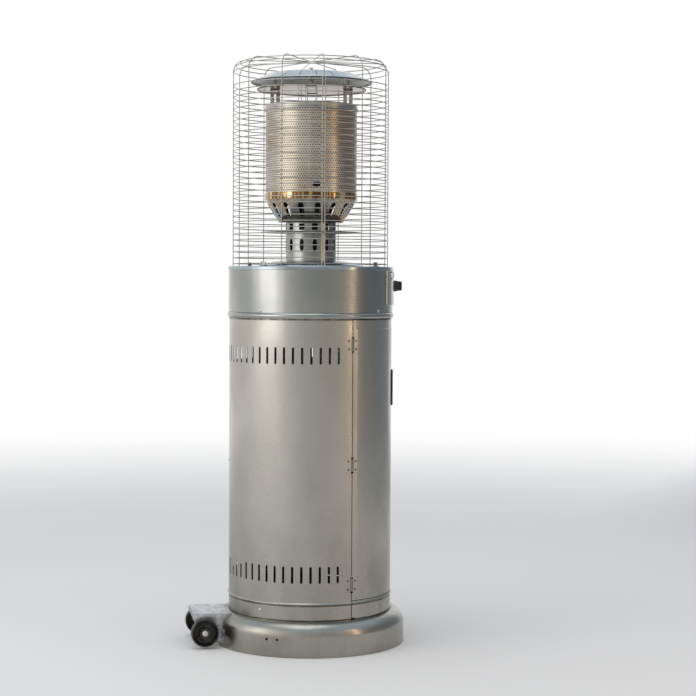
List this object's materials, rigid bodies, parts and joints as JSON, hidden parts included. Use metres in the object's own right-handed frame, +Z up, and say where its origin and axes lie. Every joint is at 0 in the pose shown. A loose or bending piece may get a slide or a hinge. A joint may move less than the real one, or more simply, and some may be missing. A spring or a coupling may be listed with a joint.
{
  "type": "patio heater",
  "caption": "Freestanding gas patio heater: round steel gas-bottle cabinet with a hinged door, control head, ring burner under reflectors in a domed wire guard, two transport wheels.",
  "frame": {"origin": "where the heater's upright axis meets the floor, at the plane of the floor pan's rim", "axes": "+Z up along the heater's axis, -Y the front with the door and the knob, +Y the rear with the wheels"},
  "size_m": [0.448, 0.5127, 1.37],
  "materials": {
    "brushed_steel": "fine upright brushing, satin",
    "head_steel": "fine brushing, satin",
    "polished_steel": "polished sheet",
    "galvanised": "galvanised sheet",
    "guard_wire": "bright plated wire",
    "emitter_mesh": "perforated heat-resisting sheet",
    "black_plastic": "satin moulded plastic",
    "wheel_plastic": "matt moulded plastic",
    "plated_button": "plated",
    "brass": "turned brass",
    "pipe_aluminium": "drawn pipe",
    "zinc_steel": "zinc plated",
    "spark_ceramic": "white glaze",
    "magnet_block": "moulded block"
  },
  "bodies": {
    "heater": {"base_pan": "brushed_steel", "base_tabs": "galvanised", "wheel_bracket": "galvanised", "bracket_screws": "zinc_steel", "wheel_axle": "zinc_steel", "axle_spacers": "zinc_steel", "axle_caps": "zinc_steel", "rear_shell": "brushed_steel", "lower_apron": "brushed_steel", "hinge_fixed_leaves": "zinc_steel", "hinge_pins": "zinc_steel", "shell_rivets": "zinc_steel", "door_stop_strip": "galvanised", "magnet_catch": "magnet_block", "strap_bracket": "galvanised", "housing_screws": "zinc_steel", "head_floor": "galvanised", "head_drum": "head_steel", "head_top": "head_steel", "control_panel": "head_steel", "gas_valve": "brass", "inlet_nipple": "brass", "inlet_pipe": "pipe_aluminium", "gas_pipe": "pipe_aluminium", "injector": "brass", "injector_bar": "galvanised", "igniter_body": "magnet_block", "tilt_switch": "magnet_block", "burner_tube": "brushed_steel", "heat_shield_disc": "brushed_steel", "mixer_tube": "galvanised", "port_plate": "emitter_mesh", "emitter_cup": "polished_steel", "emitter_screen": "emitter_mesh", "emitter_cap": "brushed_steel", "pilot_bracket": "galvanised", "pilot_burner": "zinc_steel", "thermocouple": "brass", "spark_electrode": "spark_ceramic", "reflector_brackets": "brushed_steel", "lower_reflector": "polished_steel", "upper_reflector": "polished_steel", "reflector_spacers": "zinc_steel", "reflector_nuts": "zinc_steel", "guard_front": "guard_wire", "guard_rear": "guard_wire", "guard_top": "guard_wire", "guard_clips": "zinc_steel"},
    "door": {"door": "brushed_steel", "door_handle": "black_plastic", "hinge_door_leaves": "zinc_steel", "door_rivets": "zinc_steel", "strike_plate": "zinc_steel"},
    "spindle_sleeve": {"spindle_sleeve": "brass"},
    "knob": {"valve_spindle": "brass", "control_knob": "black_plastic"},
    "igniter_button": {"igniter_button": "plated_button"},
    "wheel_left": {"wheel_left": "wheel_plastic"},
    "wheel_right": {"wheel_right": "wheel_plastic"}
  },
  "joints": [
    {"name": "door_swing", "type": "hinge", "parent": "heater", "child": "door", "pos_m": [-0.17678, -0.06964, 0.432], "axis": [0, 0, -1], "range_deg": [0, 100]},
    {"name": "knob_push", "type": "slide", "parent": "heater", "child": "spindle_sleeve", "axis": [0, 1, 0], "range_m": [0, 0.003], "stiffness_N_per_m": 1500, "springref_m": -0.001},
    {"name": "knob_turn", "type": "hinge", "parent": "spindle_sleeve", "child": "knob", "pos_m": [0, -0.19, 0.842], "axis": [0, -1, 0], "range_deg": [0, 210]},
    {"name": "igniter_press", "type": "slide", "parent": "heater", "child": "igniter_button", "axis": [0.4226, 0.9063, 0], "range_m": [0, 0.004], "stiffness_N_per_m": 1200, "springref_m": -0.001},
    {"name": "wheel_left_spin", "type": "hinge", "parent": "heater", "child": "wheel_left", "pos_m": [-0.08, 0.257, 0.037], "axis": [1, 0, 0], "continuous": true},
    {"name": "wheel_right_spin", "type": "hinge", "parent": "heater", "child": "wheel_right", "pos_m": [0.08, 0.257, 0.037], "axis": [1, 0, 0], "continuous": true}
  ]
}
